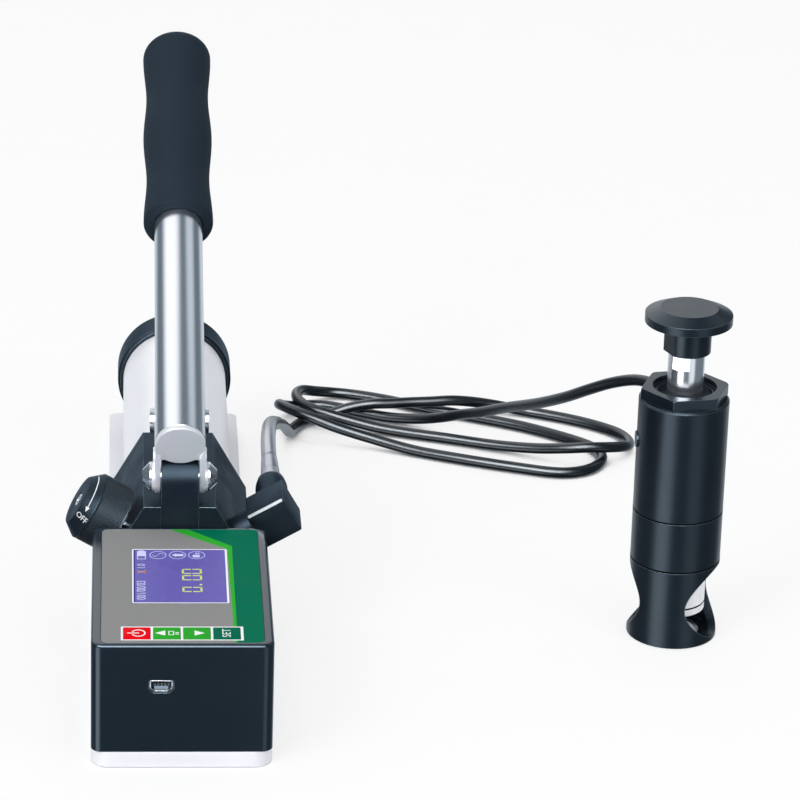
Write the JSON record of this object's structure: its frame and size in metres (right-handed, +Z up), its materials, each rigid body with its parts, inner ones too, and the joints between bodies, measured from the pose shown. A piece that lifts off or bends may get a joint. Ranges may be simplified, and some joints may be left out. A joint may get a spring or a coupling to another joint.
{
  "type": "hydraulic pull tester",
  "caption": "Hand-pumped hydraulic pull tester: base plate with display box, lever pump and reservoir, and a thin hose to a round pulling actuator with a windowed foot.",
  "frame": {"origin": "front bottom centre of the base plate, on the plane that it stands on", "axes": "+X to the right of the display, +Y away from the display's front edge along the pump, +Z up"},
  "size_m": [0.2877, 0.3993, 0.2089],
  "materials": {
    "plate": "satin anodised",
    "fastener": "zinc plated",
    "case": "satin black",
    "panel": "printed film",
    "window": "gloss",
    "board": "circuit board",
    "key_red": "satin",
    "key_green": "satin",
    "key_dark": "satin",
    "cells": "satin",
    "bright": "bright",
    "block": "black anodised",
    "tube": "polished",
    "fork": "satin",
    "foam": "matt foam",
    "reservoir": "turned",
    "rubber": "matt",
    "sleeve": "gloss",
    "brass": "turned",
    "steel": "polished",
    "fitting": "bright",
    "actuator": "black oxide"
  },
  "bodies": {
    "pump_set": {"base_plate": "plate", "base_screws": "fastener", "display_housing": "case", "panel_overlay": "panel", "lcd_window": "window", "lcd_module": "board", "circuit_board": "board", "battery_pack": "cells", "usb_socket": "bright", "pressure_sensor": "bright", "pump_block": "block", "lever_bracket": "block", "bracket_screws": "fastener", "plunger_gland": "bright", "pump_seals": "rubber", "inlet_seat": "brass", "check_springs": "steel", "block_plugs": "fastener", "reservoir_tube": "reservoir", "reservoir_cap": "block", "oil_bladder": "rubber", "tie_rod": "fastener", "rod_nut": "fastener", "filler_plug": "fastener", "rear_saddle": "block", "outlet_adapter": "fitting", "hose_elbow": "block", "hose_collar": "block", "hose_ferrule": "fitting", "bend_sleeve": "sleeve", "hose": "rubber", "actuator_hose_fitting": "fitting", "actuator_body": "actuator", "actuator_ring": "actuator", "actuator_foot": "actuator", "gland_nut": "actuator", "bleed_screw": "fastener", "return_spring": "steel"},
    "lever": {"lever_tube": "tube", "tube_end_plug": "tube", "lever_fork": "fork", "foam_grip": "foam", "pivot_pin": "bright", "link_pin": "bright"},
    "plunger": {"pump_plunger": "bright"},
    "release_valve": {"release_knob": "block", "knob_screw": "fastener", "release_stem": "bright"},
    "power_key": {"key_power": "key_red"},
    "up_key": {"key_up": "key_green"},
    "down_key": {"key_down": "key_green"},
    "set_key": {"key_set": "key_dark"},
    "inlet_check": {"inlet_ball": "steel"},
    "outlet_check": {"outlet_ball": "steel"},
    "piston": {"piston": "steel", "piston_seals": "rubber"},
    "drawbar": {"drawbar": "steel", "drawbar_knob": "actuator", "coupler": "steel", "coupler_ring": "steel"}
  },
  "joints": [
    {"name": "lever_pivot", "type": "hinge", "parent": "pump_set", "child": "lever", "pos_m": [0, 0.128, 0.075], "axis": [1, 0, 0], "range_deg": [-22, 18]},
    {"name": "plunger_slide", "type": "slide", "parent": "pump_set", "child": "plunger", "axis": [0, 0, 1], "range_m": [-0.0117, 0.0095]},
    {"name": "release_turn", "type": "hinge", "parent": "pump_set", "child": "release_valve", "pos_m": [-0.02435, 0.134, 0.04985], "axis": [-0.866, 0, 0.5], "range_deg": [-180, 0]},
    {"name": "power_press", "type": "slide", "parent": "pump_set", "child": "power_key", "axis": [0, 0, -1], "range_m": [0, 0.0004], "stiffness_N_per_m": 1500, "springref_m": -0.0003},
    {"name": "up_press", "type": "slide", "parent": "pump_set", "child": "up_key", "axis": [0, 0, -1], "range_m": [0, 0.0004], "stiffness_N_per_m": 1500, "springref_m": -0.0003},
    {"name": "down_press", "type": "slide", "parent": "pump_set", "child": "down_key", "axis": [0, 0, -1], "range_m": [0, 0.0004], "stiffness_N_per_m": 1500, "springref_m": -0.0003},
    {"name": "set_press", "type": "slide", "parent": "pump_set", "child": "set_key", "axis": [0, 0, -1], "range_m": [0, 0.0004], "stiffness_N_per_m": 1500, "springref_m": -0.0003},
    {"name": "inlet_lift", "type": "slide", "parent": "pump_set", "child": "inlet_check", "axis": [0, -1, 0], "range_m": [0, 0.0008], "stiffness_N_per_m": 60, "springref_m": -0.001},
    {"name": "outlet_lift", "type": "slide", "parent": "pump_set", "child": "outlet_check", "axis": [1, 0, 0], "range_m": [0, 0.0008], "stiffness_N_per_m": 60, "springref_m": -0.001},
    {"name": "piston_slide", "type": "slide", "parent": "pump_set", "child": "piston", "axis": [0, 0, 1], "range_m": [0, 0.005], "stiffness_N_per_m": 2000, "springref_m": -0.002, "deforming": ["return_spring"]},
    {"name": "drawbar_slide", "type": "slide", "parent": "piston", "child": "drawbar", "axis": [0, 0, 1], "range_m": [-0.009, 0]}
  ],
  "couplings": [
    {"joint": "plunger_slide", "follows": "lever_pivot", "m_per_rad": 0.03}
  ]
}
